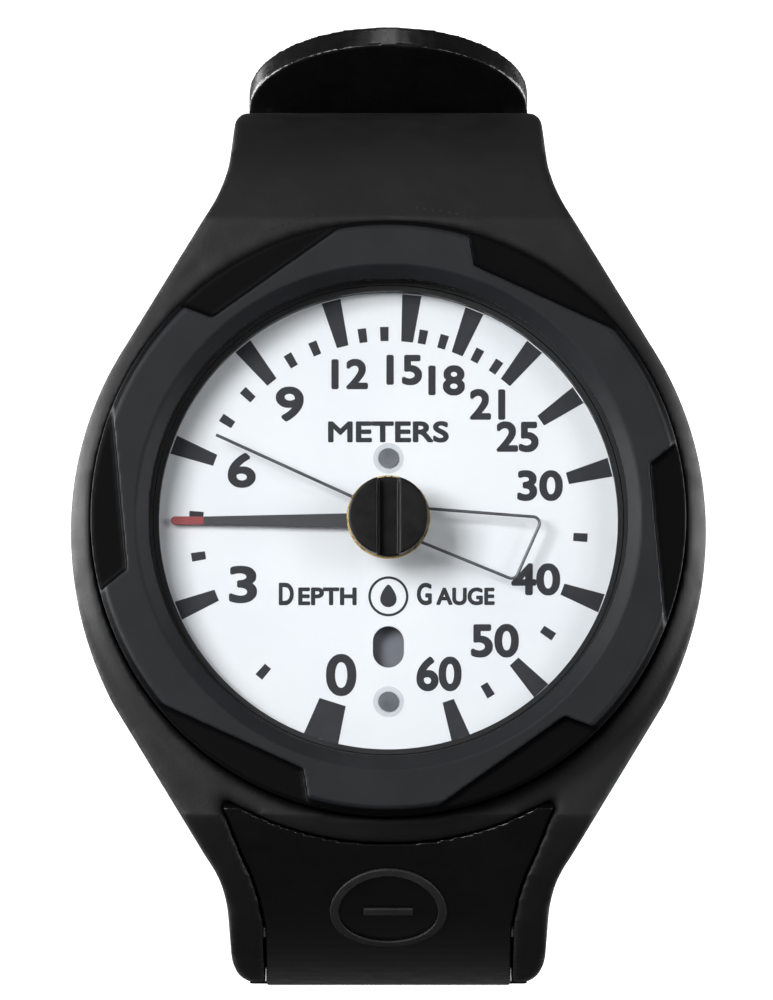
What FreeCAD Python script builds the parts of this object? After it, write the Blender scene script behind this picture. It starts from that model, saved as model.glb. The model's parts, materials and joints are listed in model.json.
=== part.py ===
"""Analogue wrist depth gauge: an oil-filled Bourdon-tube dial in a rubber boot on a buckled strap.

The piece is described in a dial frame: x to the right of the dial, y towards 12 o'clock and
height out of the dial, away from the wrist. Height 0 is the flat back of the boot. TURN lays
that frame into the part's own frame, where the dial faces -Y and 12 o'clock is +Z.
"""

import FreeCAD, Part
import math
import os

import Sketcher

V = FreeCAD.Vector
TURN = FreeCAD.Placement(V(), FreeCAD.Rotation(V(1, 0, 0), 90))

# Driving dimensions in millimetres. Heights are measured from the wrist face of the boot.
SIZES = {
    # case and cover
    "case_radius": 28.0,
    "case_bore": 24.9,
    "case_rim": 19.0,
    "case_floor": 6.6,
    "case_back": 4.6,
    "oil_port": 6.0,
    "cover_radius": 26.0,
    "cover_back": 2.3,
    "cover_front": 3.3,
    "diaphragm_radius": 18.0,
    "diaphragm_back": 3.8,
    "clamp_radius": 21.0,
    "clamp_bore": 14.0,
    "clamp_back": 3.35,
    "cover_screw_circle": 23.5,
    "vent_circle": 8.0,
    "vent_radius": 1.5,
    "plug_x": 20.5,
    "screw_radius": 0.8,
    "screw_head_radius": 1.5,
    "plug_radius": 1.6,
    # front
    "bezel_radius": 31.35,
    "bezel_front": 24.0,
    "bezel_back": 14.0,
    "bezel_bore": 28.05,
    "bezel_lip_radius": 25.0,
    "bezel_flat_radius": 26.6,
    "bezel_edge_round": 0.8,
    "grip_inner_radius": 28.0,
    "grip_depth": 1.1,
    "lens_radius": 27.6,
    "lens_back": 19.6,
    "lens_front": 22.6,
    "lens_bore": 2.2,
    "gasket_bore": 25.4,
    "rim_radius": 24.8,
    "rim_bore": 24.27,
    "rim_front": 18.7,
    # dial
    "dial_radius": 24.7,
    "dial_back": 15.4,
    "dial_front": 16.2,
    "dial_bore": 1.6,
    "dial_screw_high": 6.7,
    "dial_screw_low": -19.1,
    "dial_screw_radius": 0.9,
    "dial_window_y": -13.3,
    "dial_window_radius": 1.65,
    "dial_window_straight": 1.1,
    # movement
    "upper_plate_back": 12.6,
    "upper_plate_front": 13.6,
    "lower_plate_back": 8.4,
    "lower_plate_front": 9.4,
    "plate_low": -21.4,
    "plate_tail": -17.4,
    "plate_high": 9.4,
    "plate_half_width": 8.0,
    "pillar_radius": 1.4,
    "pillar_x": 6.2,
    "arbor_radius": 0.45,
    "arbor_clearance": 0.04,
    "pinion_radius": 0.9,
    "sector_radius": 8.1,
    "sector_x": -4.5,
    "sector_y": -7.794,
    "gear_back": 10.0,
    "gear_front": 10.9,
    "tail_radius": 6.08,
    "tube_radius": 20.0,
    "tube_thick": 1.6,
    "tube_wide": 5.0,
    "tube_back": 7.4,
    # hands and knob
    "pointer_back": 17.3,
    "pointer_front": 17.55,
    "pointer_length": 23.0,
    "pointer_tail": 3.6,
    "wire_height": 19.05,
    "wire_radius": 0.16,
    "knob_radius": 4.2,
    "knob_back": 23.1,
    "knob_front": 26.0,
    "slot_half_width": 1.15,
    "slot_floor": 23.9,
    "shaft_radius": 1.2,
    "bush_bore": 1.24,
    # boot and strap
    "boot_rim": 18.0,
    "lug_half_width": 16.5,
    "arm_top_radius": 23.1,
    "arm_low_radius": 33.0,
    "strap_half_width": 15.0,
    "strap_thick": 2.8,
    "lug_strap_half_width": 13.1,
    "bar_radius": 0.9,
    "bar_half_length": 15.6,
    "eye_radius": 2.3,
    "hole_length": 6.2,
    "hole_width": 3.6,
    "hole_pitch": 9.0,
    "hinge_s": 5.0,
    "frame_reach": 11.5,
    "frame_half_width": 17.4,
    "frame_bar_radius": 1.2,
    "keeper_width": 3.5,
    "keeper_wall": 1.3,
}

doc = FreeCAD.newDocument("wrist_depth_gauge")
sheet = doc.addObject("Spreadsheet::Sheet", "sizes")
for row, (alias, number_value) in enumerate(SIZES.items(), 1):
    sheet.set(f"A{row}", alias)
    sheet.set(f"B{row}", str(number_value))
    sheet.setAlias(f"B{row}", alias)
doc.recompute()

nodes = []


def number(expression):
    """The value of sums and differences of sheet names, such as 'case_radius - 1.5'."""
    total = 0.0
    sign = 1.0
    for word in expression.split():
        if word in ("+", "-"):
            sign = 1.0 if word == "+" else -1.0
        else:
            total += sign * (SIZES[word] if word in SIZES else float(word))
    return total


def bound(expression):
    """The same expression as the document's own, reading the sheet."""
    words = [f"sizes.{word}" if word in SIZES else word for word in expression.split()]
    return " ".join(words)


def size(alias):
    return SIZES[alias]


def keep(obj, name):
    """Names an object as one sub-part of the gauge."""
    obj.Label = name
    nodes.append(obj)
    return obj


def new_body(name):
    body = doc.addObject("PartDesign::Body", name)
    body.Placement = TURN
    return keep(body, name)


def plane_sketch(body, role, name, height=None):
    sketch = body.newObject("Sketcher::SketchObject", name)
    plane = next(item for item in body.Origin.OriginFeatures if item.Role == role)
    sketch.AttachmentSupport = [(plane, "")]
    sketch.MapMode = "FlatFace"
    if height:
        sketch.setExpression("AttachmentOffset.Base.z", bound(height))
    return sketch


def pin_point(sketch, edge, end, across, up):
    """Ties one point of a sketch to two sheet expressions."""
    for kind, expression in (("DistanceX", across), ("DistanceY", up)):
        index = sketch.addConstraint(
            Sketcher.Constraint(kind, -1, 1, edge, end, number(expression)))
        sketch.setExpression(f"Constraints[{index}]", bound(expression))


def add_polygon(sketch, points):
    first = sketch.GeometryCount
    count = len(points)
    corners = [V(number(across), number(up), 0) for across, up in points]
    for index in range(count):
        sketch.addGeometry(Part.LineSegment(corners[index], corners[(index + 1) % count]))
    for index in range(count):
        after = first + (index + 1) % count
        sketch.addConstraint(Sketcher.Constraint("Coincident", first + index, 2, after, 1))
    for index, (across, up) in enumerate(points):
        pin_point(sketch, first + index, 1, across, up)


def add_circle(sketch, radius, across="0", up="0"):
    centre = V(number(across), number(up), 0)
    edge = sketch.addGeometry(Part.Circle(centre, V(0, 0, 1), number(radius)))
    pin_point(sketch, edge, 3, across, up)
    index = sketch.addConstraint(Sketcher.Constraint("Radius", edge, number(radius)))
    sketch.setExpression(f"Constraints[{index}]", bound(radius))


def revolved(name, points):
    """A piece turned about the dial's axis from (radius, height) corners."""
    body = new_body(name)
    sketch = plane_sketch(body, "XZ_Plane", f"{name}_profile")
    add_polygon(sketch, points)
    turn = body.newObject("PartDesign::Revolution", f"{name}_turn")
    turn.Profile = sketch
    turn.ReferenceAxis = (sketch, ["V_Axis"])
    turn.Angle = 360
    return body


def washer(name, outer, inner, back, front):
    return revolved(name, [(inner, back), (outer, back), (outer, front), (inner, front)])


def padded(name, back, front, draw):
    """A flat piece between two heights, its outline drawn by the given function."""
    body = new_body(name)
    sketch = plane_sketch(body, "XY_Plane", f"{name}_outline", back)
    draw(sketch)
    pad = body.newObject("PartDesign::Pad", f"{name}_pad")
    pad.Profile = sketch
    pad.setExpression("Length", f"{bound(front)} - ({bound(back)})")
    return body


def cut_through(body, draw, back, front, name):
    """Cuts a pocket between two heights out of a body and returns the feature."""
    sketch = plane_sketch(body, "XY_Plane", f"{name}_outline", back)
    draw(sketch)
    pocket = body.newObject("PartDesign::Pocket", name)
    pocket.Profile = sketch
    pocket.Reversed = True
    pocket.setExpression("Length", f"{bound(front)} - ({bound(back)})")
    return pocket


def rod(name, radius, back, front, across="0", up="0"):
    """A Part cylinder along the dial's axis, bound to the sheet; not yet a sub-part."""
    cylinder = doc.addObject("Part::Cylinder", name)
    cylinder.Placement = TURN
    cylinder.setExpression("Radius", bound(radius))
    cylinder.setExpression("Height", f"{bound(front)} - ({bound(back)})")
    cylinder.setExpression("Placement.Base.x", bound(across))
    cylinder.setExpression("Placement.Base.y", f"-({bound(back)})")
    cylinder.setExpression("Placement.Base.z", bound(up))
    return cylinder


def cut(name, base, tool):
    difference = doc.addObject("Part::Cut", name)
    difference.Base = base
    difference.Tool = tool
    return keep(difference, name)


def shaped(name, shape):
    """A sub-part whose form is computed in the dial frame."""
    feature = doc.addObject("Part::Feature", name)
    feature.Shape = shape
    feature.Placement = TURN
    return keep(feature, name)


def group(name, pieces):
    """Several separate, identical solids that share one node."""
    compound = doc.addObject("Part::Compound", name)
    compound.Links = pieces
    return keep(compound, name)


# ---- plain shape helpers in the dial frame ------------------------------------------------

def solid_rod(radius, start, end):
    along = end - start
    return Part.makeCylinder(radius, along.Length, start, along)


def cross_bar(radius, half_length, up, height):
    return solid_rod(radius, V(-half_length, up, height), V(half_length, up, height))


def box(low, high):
    return Part.makeBox(high[0] - low[0], high[1] - low[1], high[2] - low[2], V(*low))


def prism(points, along):
    """A straight-sided face swept along a vector."""
    return Part.Face(Part.makePolygon(list(points) + [points[0]])).extrude(along)


def arc(start, middle, end):
    return Part.Arc(start, middle, end).toShape()


def line(start, end):
    return Part.makeLine(start, end)


def polar(radius, degrees, height=0.0, centre=V()):
    angle = math.radians(degrees)
    return centre + V(radius * math.cos(angle), radius * math.sin(angle), height)


def as_text(spot):
    """The two coordinates of a spot, written for a sketch."""
    return f"{spot.x:.4f}", f"{spot.y:.4f}"


def vent_spots():
    """The three water vents, which run through both the boot and the cover."""
    return [polar(size("vent_circle"), degrees) for degrees in (90, 210, 330)]


def cover_screw_spots():
    return [polar(size("cover_screw_circle"), 45 + 90 * index) for index in range(4)]


# ---- boot outline and side profile --------------------------------------------------------

ARM_TOP_CENTRE = V(0, 22.2, -3.0)
ARM_LOW_CENTRE = V(0, -15.7, -11.0)


def mirrored_wire(right_edges):
    """Closes a right-hand outline with its mirror image about x = 0."""
    half = Part.Wire(right_edges)
    other = half.mirror(V(), V(1, 0, 0))
    return Part.Wire(Part.__sortEdges__(half.Edges + other.Edges))


def boot_outline():
    lug = size("lug_half_width")
    shoulder = V(33.65, -0.5, 0)
    edges = [
        line(V(0, 46.0, 0), V(lug - 1.2, 46.0, 0)),
        line(V(lug - 1.2, 46.0, 0), V(lug - 0.1, 44.0, 0)),
        line(V(lug - 0.1, 44.0, 0), V(lug + 0.4, 38.6, 0)),
        arc(V(lug + 0.4, 38.6, 0), V(17.6, 36.0, 0), V(18.9, 33.2, 0)),
        line(V(18.9, 33.2, 0), V(27.7, 18.9, 0)),
        arc(V(27.7, 18.9, 0), V(32.05, 9.7, 0), shoulder),
        arc(shoulder, V(32.6, -10.0, 0), V(29.65, -18.3, 0)),
        line(V(29.65, -18.3, 0), V(19.5, -35.0, 0)),
        arc(V(19.5, -35.0, 0), V(17.7, -38.3, 0), V(lug + 0.5, -42.0, 0)),
        line(V(lug + 0.5, -42.0, 0), V(lug + 0.3, -45.2, 0)),
        arc(V(lug + 0.3, -45.2, 0), V(16.1, -47.2, 0), V(14.2, -48.0, 0)),
        line(V(14.2, -48.0, 0), V(0, -48.0, 0)),
    ]
    return Part.Face(mirrored_wire(edges))


def on_arm(centre, radius, degrees):
    """A point of an arm's side arc; 0 degrees is 12 o'clock, 90 degrees is out of the dial."""
    angle = math.radians(degrees)
    return centre + V(0, radius * math.cos(angle), radius * math.sin(angle))


def boot_side():
    rim = size("boot_rim")
    top = ARM_TOP_CENTRE
    low = ARM_LOW_CENTRE
    top_radius = size("arm_top_radius")
    low_radius = size("arm_low_radius")
    top_start = on_arm(top, top_radius, 64)
    top_end = on_arm(top, top_radius, -1.5)
    low_start = on_arm(low, low_radius, 185.2)
    low_end = on_arm(low, low_radius, 118)
    wire = Part.Wire([
        line(V(0, low_end.y, rim), V(0, top_start.y, rim)),
        line(V(0, top_start.y, rim), top_start),
        arc(top_start, on_arm(top, top_radius, 30), top_end),
        line(top_end, V(0, 38.0, top_end.z)),
        arc(V(0, 38.0, top_end.z), V(0, 37.0, -1.1), V(0, 34.4, 0)),
        line(V(0, 34.4, 0), V(0, -34.2, 0)),
        arc(V(0, -34.2, 0), V(0, -39.7, -3.6), V(0, -41.7, low_start.z)),
        line(V(0, -41.7, low_start.z), low_start),
        arc(low_start, on_arm(low, low_radius, 150), low_end),
        line(low_end, V(0, low_end.y, rim)),
    ])
    return Part.Face(wire)


def panel_outline(gap):
    """The strap's moulded end between the boot's rails, seen from the front."""
    half = size("lug_strap_half_width") + gap
    horn = V(18.0 + gap, -29.0 + gap, 0)
    valley = V(0, -34.1 + gap, 0)
    edges = [
        arc(valley, V(9.3, -32.9 + gap, 0), horn),
        line(horn, V(15.4 + gap, -35.4, 0)),
        arc(V(15.4 + gap, -35.4, 0), V(13.9 + gap, -39.0, 0), V(half, -43.0, 0)),
        line(V(half, -43.0, 0), V(half, -50.0, 0)),
        line(V(half, -50.0, 0), V(0, -50.0, 0)),
    ]
    return Part.Face(mirrored_wire(edges))


LOW_BAR = (-42.7, 3.2)
TOP_BAR = (41.2, -1.0)


def make_boot():
    width = V(80, 0, 0)
    outline = boot_outline()
    outline.translate(V(0, 0, -30))
    side = boot_side()
    side.translate(V(-40, 0, 0))
    shape = outline.extrude(V(0, 0, 60)).common(side.extrude(width))
    # the round seat of the case and the bezel
    seat = Part.makeCylinder(size("case_radius") + 0.1, 40, V(0, 0, size("cover_back") - 0.1))
    bezel_seat = Part.makeCylinder(
        size("bezel_radius") + 0.15, 40, V(0, 0, size("bezel_back") - 0.2))
    shape = shape.cut(seat).cut(bezel_seat)
    # three water vents through the wrist face
    for spot in vent_spots():
        shape = shape.cut(Part.makeCylinder(size("vent_radius"), 6, spot - V(0, 0, 1)))
    # the recess of the strap's moulded end
    recess = panel_outline(0.15)
    recess.translate(V(0, 0, -16))
    floor = Part.makeCylinder(
        size("arm_low_radius") - 3.3, 80, ARM_LOW_CENTRE - V(40, 0, 0), V(1, 0, 0))
    shape = shape.cut(recess.extrude(V(0, 0, 45)).cut(floor))
    shape = shape.cut(cross_bar(size("eye_radius") + 0.3, 13.3, *LOW_BAR))
    # the slot behind the top arm and both bar holes
    half = size("lug_strap_half_width") + 0.2
    shape = shape.cut(box((-half, 38.6, -8.0), (half, 43.7, 1.6)))
    for up, height in (LOW_BAR, TOP_BAR):
        shape = shape.cut(cross_bar(size("bar_radius"), size("bar_half_length"), up, height))
    return shaped("boot", shape)


# ---- strap loop ---------------------------------------------------------------------------

LOOP_LOW_RADIUS = 31.2
LOOP_HIGH_RADIUS = 26.0
RUN_START = V(0, 27.21, -31.48)
RUN_ALONG = V(0, math.sin(math.radians(36)), math.cos(math.radians(36)))
RUN_OUT = V(0, RUN_ALONG.z, -RUN_ALONG.y)
RUN_LENGTH = 33.4
SHORT_DEPTH = -3.15
HINGE_OUT = -4.0
TIP_REACH = 10.5


def on_run(along, out, across=0.0):
    """A point of the straight overlapped run: distance along it, outwards, and to the right."""
    return RUN_START + RUN_ALONG * along + RUN_OUT * out + V(across, 0, 0)


def ribbon(path, half_width, start, along):
    """A strap of even thickness swept along a flat path of straight and round stretches."""
    half = size("strap_thick") / 2
    normal = along.cross(V(1, 0, 0))
    normal.normalize()
    side = V(half_width, 0, 0)
    rectangle = Part.makePolygon([
        start + side + normal * half, start - side + normal * half,
        start - side - normal * half, start + side - normal * half,
        start + side + normal * half])
    return path.makePipeShell([rectangle], True, False)


def strap_hole(along):
    """An oblong hole through the strap, its length along the strap."""
    reach = (size("hole_length") - size("hole_width")) / 2
    radius = size("hole_width") / 2
    if along >= 0:
        centre = on_run(along, -3.0)
        direction = RUN_ALONG
        out = RUN_OUT
    else:
        turn = -along / LOOP_HIGH_RADIUS
        total = math.radians(54)
        middle = on_run(0, -LOOP_HIGH_RADIUS)
        if turn < total:
            angle = math.radians(36) + turn
            direction = V(0, math.sin(angle), math.cos(angle))
            out = V(0, direction.z, -direction.y)
            centre = middle + out * (LOOP_HIGH_RADIUS - 3.0)
        else:
            direction = V(0, 1, 0)
            out = V(0, 0, -1)
            beyond = (turn - total) * LOOP_HIGH_RADIUS
            centre = middle + out * (LOOP_HIGH_RADIUS - 3.0) - direction * beyond
    shape = Part.makeCylinder(radius, 6.0, centre - direction * reach, out)
    shape = shape.fuse(Part.makeCylinder(radius, 6.0, centre + direction * reach, out))
    side = V(radius, 0, 0)
    corners = [centre + direction * reach + side, centre + direction * reach - side,
               centre - direction * reach - side, centre - direction * reach + side]
    return shape.fuse(prism(corners, out * 6.0))


def make_long_strap():
    half = size("strap_thick") / 2
    low = ARM_LOW_CENTRE
    start = on_arm(low, LOOP_LOW_RADIUS, 116.8)
    bottom = on_arm(low, LOOP_LOW_RADIUS, 270)
    turn_centre = on_run(0, -LOOP_HIGH_RADIUS)
    turn_start = turn_centre + V(0, 0, -LOOP_HIGH_RADIUS)
    path = Part.Wire([
        arc(start, on_arm(low, LOOP_LOW_RADIUS, 195), bottom),
        line(bottom, turn_start),
        arc(turn_start, turn_centre + V(0, math.cos(math.radians(63)),
                                        -math.sin(math.radians(63))) * LOOP_HIGH_RADIUS,
            RUN_START),
    ])
    first_way = start - low
    band = ribbon(path, 20.0, start, first_way.cross(V(1, 0, 0)))
    front = panel_outline(0.0)
    front.translate(V(0, 0, -14.6))
    strap_half = size("strap_half_width")
    rear = box((-strap_half, -60, -60), (strap_half, 60, -14.5))
    shape = band.common(front.extrude(V(0, 0, 45)).fuse(rear))
    # the straight free end with its round tip
    corner = on_run(0, -half, strap_half)
    other = on_run(0, -half, -strap_half)
    far = on_run(RUN_LENGTH, -half, strap_half)
    far_other = on_run(RUN_LENGTH, -half, -strap_half)
    tip = on_run(RUN_LENGTH + TIP_REACH, -half)
    end = Part.ArcOfEllipse(Part.Ellipse(far, tip, on_run(RUN_LENGTH, -half)), 0, math.pi)
    face = Part.Face(Part.Wire([
        line(other, corner), line(corner, far), end.toShape(), line(far_other, other)]))
    shape = shape.fuse(face.extrude(RUN_OUT * (2 * half)))
    # the eye on the wrist side of the moulded end
    shape = shape.fuse(cross_bar(size("eye_radius"), 12.9, *LOW_BAR).common(front_block()))
    shape = shape.cut(cross_bar(size("bar_radius"), 20, *LOW_BAR))
    first = size("hinge_s") - 2.6
    for index in range(-5, 3):
        shape = shape.cut(strap_hole(first + index * size("hole_pitch")))
    return shaped("long_strap", shape.removeSplitter())


def front_block():
    """Everything within the outer skin of the moulded end, so its eye never stands proud."""
    outer = LOOP_LOW_RADIUS + size("strap_thick") / 2
    return Part.makeCylinder(outer, 80, ARM_LOW_CENTRE - V(40, 0, 0), V(1, 0, 0))


def make_short_strap():
    bar = V(0, *TOP_BAR)
    bend = on_run(22.0, SHORT_DEPTH)
    hinge = on_run(size("hinge_s"), SHORT_DEPTH)
    lead = (bend - bar)
    lead.normalize()
    bend_radius = 14.0
    half_turn = math.acos(lead.dot(-RUN_ALONG)) / 2
    reach = bend_radius * math.tan(half_turn)
    before = bend - lead * reach
    after = bend - RUN_ALONG * reach
    inward = (before - bend) + (after - bend)
    inward.normalize()
    depth = bend_radius / math.cos(half_turn) - bend_radius
    path = Part.Wire([
        line(bar, before), arc(before, bend + inward * depth, after), line(after, hinge)])
    band = ribbon(path, size("lug_strap_half_width"), bar, lead)
    wide = ribbon(path, size("strap_half_width"), bar, lead)
    shape = band.fuse(wide.common(box((-20, 0, -60), (20, 60, TOP_BAR[1] - 4.2))))
    shape = shape.fuse(cross_bar(size("eye_radius"), size("lug_strap_half_width"), *TOP_BAR))
    hinge_eye = on_run(size("hinge_s"), HINGE_OUT)
    shape = shape.fuse(cross_bar(2.4, size("strap_half_width"), hinge_eye.y, hinge_eye.z))
    shape = shape.cut(cross_bar(size("bar_radius"), 20, *TOP_BAR))
    shape = shape.cut(cross_bar(1.0, 20, hinge_eye.y, hinge_eye.z))
    # the slot of the prong through the hinge eye
    low = on_run(size("hinge_s") - 6, -9, -1.7)
    corners = [low, low + V(3.4, 0, 0), low + V(3.4, 0, 0) + RUN_ALONG * 10.5,
               low + RUN_ALONG * 10.5]
    shape = shape.cut(prism(corners, RUN_OUT * 12))
    return shaped("short_strap", shape.removeSplitter())


def make_buckle():
    hinge = on_run(size("hinge_s"), HINGE_OUT)
    far = on_run(size("hinge_s") - size("frame_reach"), 3.1)
    half = size("frame_half_width")
    bar = size("frame_bar_radius")
    pieces = solid_rod(bar, far - V(half, 0, 0), far + V(half, 0, 0))
    reach = far - hinge
    length = reach.Length
    reach.normalize()
    across = reach.cross(V(1, 0, 0))
    for sign in (-1, 1):
        low = V(sign * half - (2.0 if sign > 0 else 0), 0, 0)
        start = hinge + low - across * 2.0
        plate = prism([start, start + across * 4.0, start + across * 3.3 + reach * length,
                       start + across * 0.7 + reach * length], V(2.0, 0, 0))
        round_end = Part.makeCylinder(2.0, 2.0, hinge + low, V(1, 0, 0))
        pieces = pieces.fuse(plate).fuse(round_end)
    pieces = pieces.cut(cross_bar(1.0, 20, hinge.y, hinge.z))
    shaped("buckle_frame", pieces.removeSplitter())
    # the bar is pressed into the frame and turns in the strap's eye
    shaped("buckle_bar", cross_bar(0.96, half, hinge.y, hinge.z))
    # prong: an eye round the bar, up through the strap, then down onto the frame's far bar
    knee = on_run(size("hinge_s") - 3.9, 3.1)
    rest = far + RUN_OUT * (bar + 0.95) - RUN_ALONG * 0.6
    thick = 0.7
    prong = solid_rod(thick, hinge, knee).fuse(solid_rod(thick, knee, rest))
    prong = prong.fuse(Part.makeSphere(thick, knee)).fuse(Part.makeSphere(thick, rest))
    prong = prong.fuse(cross_bar(1.75, 1.4, hinge.y, hinge.z))
    prong = prong.cut(cross_bar(1.0, 20, hinge.y, hinge.z))
    shaped("buckle_prong", prong.removeSplitter())


def keeper_shape(centre_s, inner_low, inner_high):
    """A square-cornered loop round both straps, open along them."""
    half = size("strap_half_width") + 0.35
    wall = size("keeper_wall")
    start = centre_s - size("keeper_width") / 2

    def block(extra):
        corners = [on_run(start, inner_low - extra, -half - extra),
                   on_run(start, inner_low - extra, half + extra),
                   on_run(start, inner_high + extra, half + extra),
                   on_run(start, inner_high + extra, -half - extra)]
        return prism(corners, RUN_ALONG * size("keeper_width"))

    return block(wall).cut(block(0.0))


def make_keepers():
    half = size("strap_thick") / 2
    low = SHORT_DEPTH - half - 0.3
    high = half + 0.3
    shaped("fixed_keeper", keeper_shape(10.4, low, high))
    shaped("sliding_keeper", keeper_shape(15.0, low, high))


def make_strap_bars():
    radius = size("bar_radius") - 0.02
    half = size("bar_half_length") - 0.1
    shaped("top_strap_bar", cross_bar(radius, half, *TOP_BAR))
    shaped("bottom_strap_bar", cross_bar(radius, half, *LOW_BAR))


def make_badge():
    """A thin ring with a bar across its middle, raised on the moulded end of the strap."""
    skin = LOOP_LOW_RADIUS + size("strap_thick") / 2 + 0.02
    centre = on_arm(ARM_LOW_CENTRE, skin, 140.8)
    out = centre - ARM_LOW_CENTRE
    out.normalize()
    up = out.cross(V(1, 0, 0)) * 0.5
    side = V(2.6, 0, 0)
    start = centre - out * 2.0
    ring = Part.makeCylinder(6.2, 4.0, start, out).cut(Part.makeCylinder(5.3, 4.0, start, out))
    bar = prism([start - side + up, start + side + up, start + side - up, start - side - up],
                out * 4.0)
    axis_start = ARM_LOW_CENTRE - V(40, 0, 0)
    inner = Part.makeCylinder(skin, 80, axis_start, V(1, 0, 0))
    outer = Part.makeCylinder(skin + 0.3, 80, axis_start, V(1, 0, 0))
    return ring.fuse(bar).common(outer.cut(inner))


# ---- case, cover and front ----------------------------------------------------------------

def make_case():
    case = revolved("case_body", [
        ("oil_port", "case_back"), ("case_radius", "case_back"), ("case_radius", "case_rim"),
        ("case_bore", "case_rim"), ("case_bore", "case_floor"), ("oil_port", "case_floor")])

    def screw_circles(sketch):
        for spot in cover_screw_spots():
            add_circle(sketch, "screw_radius", *as_text(spot))

    cut_through(case, screw_circles, "case_back", "case_floor - 0.5", "cover_screw_holes")

    def plug_circle(sketch):
        add_circle(sketch, "plug_radius", "plug_x", "0")

    cut_through(case, plug_circle, "case_back", "case_floor", "plug_hole")
    return case


def make_cover():
    cover = padded("back_cover", "cover_back", "cover_front",
                   lambda sketch: add_circle(sketch, "cover_radius"))

    def vents_and_screws(sketch):
        for spot in vent_spots():
            add_circle(sketch, "vent_radius", *as_text(spot))
        for spot in cover_screw_spots():
            add_circle(sketch, "screw_radius", *as_text(spot))

    cut_through(cover, vents_and_screws, "cover_back", "cover_front", "cover_holes")
    spacer = washer("cover_spacer", "cover_radius", "clamp_radius + 0.1", "cover_front",
                    "case_back")

    def spacer_holes(sketch):
        for spot in cover_screw_spots():
            add_circle(sketch, "screw_radius", *as_text(spot))

    cut_through(spacer, spacer_holes, "cover_front", "case_back", "spacer_holes")
    screws = []
    for index, spot in enumerate(cover_screw_spots()):
        screws.append(rod(f"cover_screw_{index}", "screw_radius - 0.02", "cover_back",
                          "case_floor - 0.6", *as_text(spot)))
    group("cover_screws", screws)
    keep(rod("oil_fill_plug", "plug_radius - 0.02", "case_back + 0.05", "case_floor", "plug_x",
             "0"), "oil_fill_plug")
    washer("diaphragm_clamp", "clamp_radius", "clamp_bore", "clamp_back", "diaphragm_back")
    revolved("pressure_diaphragm", [
        ("0", "diaphragm_back"), ("clamp_radius", "diaphragm_back"),
        ("clamp_radius", "case_back"), ("0", "case_back")])


def make_bezel():
    bezel = revolved("bezel_ring", [
        ("bezel_bore", "bezel_back"), ("bezel_radius", "bezel_back"),
        ("bezel_radius", "bezel_front - bezel_edge_round"),
        ("bezel_radius - bezel_edge_round", "bezel_front"),
        ("bezel_flat_radius", "bezel_front"), ("bezel_lip_radius", "lens_front + 0.05"),
        ("bezel_bore", "lens_front + 0.05")])

    def grip(sketch):
        """One finger recess: a step at its near end that tapers out to the rim."""
        step = 90 - 18.6
        near = polar(size("grip_inner_radius"), step)
        rim = polar(33.0, step + 4.5)
        far = polar(31.5, step - 34)
        outer = polar(36.0, step - 20)
        add_polygon(sketch, [as_text(spot) for spot in (near, rim, outer, far)])

    pocket = cut_through(bezel, grip, "bezel_front - grip_depth", "bezel_front + 1", "grip")
    doc.recompute()
    pattern = bezel.newObject("PartDesign::PolarPattern", "grips")
    pattern.Originals = [pocket]
    pattern.Axis = (pocket.Profile[0], ["N_Axis"])
    pattern.Angle = 360
    pattern.Occurrences = 6
    bezel.Tip = pattern
    washer("lens", "lens_radius", "lens_bore", "lens_back", "lens_front")
    washer("lens_gasket", "case_radius - 0.4", "gasket_bore", "case_rim + 0.02",
           "lens_back - 0.02")
    washer("dial_rim", "rim_radius", "rim_bore", "dial_front + 0.02", "rim_front")


# ---- dial and movement --------------------------------------------------------------------

def make_dial():
    def outline(sketch):
        add_circle(sketch, "dial_radius")
        add_circle(sketch, "dial_bore")
        add_circle(sketch, "dial_screw_radius", "0", "dial_screw_high")
        add_circle(sketch, "dial_screw_radius", "0", "dial_screw_low")
        add_obround(sketch, "dial_window_radius", "dial_window_straight", "dial_window_y")

    padded("dial_plate", "dial_back", "dial_front", outline)
    screws = []
    for name, spot in (("high", "dial_screw_high"), ("low", "dial_screw_low")):
        shank = rod(f"dial_screw_{name}_shank", "dial_screw_radius - 0.02", "upper_plate_back",
                    "dial_front", "0", spot)
        head = rod(f"dial_screw_{name}_head", "dial_screw_radius + 0.15", "dial_front",
                   "dial_front + 0.35", "0", spot)
        fuse = doc.addObject("Part::MultiFuse", f"dial_screw_{name}")
        fuse.Shapes = [shank, head]
        screws.append(fuse)
    group("dial_screws", screws)


def add_obround(sketch, radius, straight, up):
    """A vertical slot outline: two half circles joined by straight sides."""
    reach = number(straight) / 2
    centre = number(up)
    width = number(radius)
    top = V(0, centre + reach, 0)
    low = V(0, centre - reach, 0)
    first = sketch.addGeometry(Part.ArcOfCircle(Part.Circle(top, V(0, 0, 1), width), 0, math.pi))
    second = sketch.addGeometry(
        Part.ArcOfCircle(Part.Circle(low, V(0, 0, 1), width), math.pi, 2 * math.pi))
    left = sketch.addGeometry(Part.LineSegment(V(-width, top.y, 0), V(-width, low.y, 0)))
    right = sketch.addGeometry(Part.LineSegment(V(width, low.y, 0), V(width, top.y, 0)))
    for one, one_end, two, two_end in ((first, 2, left, 1), (left, 2, second, 1),
                                       (second, 2, right, 1), (right, 2, first, 1)):
        sketch.addConstraint(Sketcher.Constraint("Tangent", one, one_end, two, two_end))
    pin_point(sketch, first, 3, "0", f"{up} + {reach}")
    index = sketch.addConstraint(
        Sketcher.Constraint("DistanceY", second, 3, first, 3, number(straight)))
    sketch.setExpression(f"Constraints[{index}]", bound(straight))
    index = sketch.addConstraint(Sketcher.Constraint("Radius", first, width))
    sketch.setExpression(f"Constraints[{index}]", bound(radius))


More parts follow.
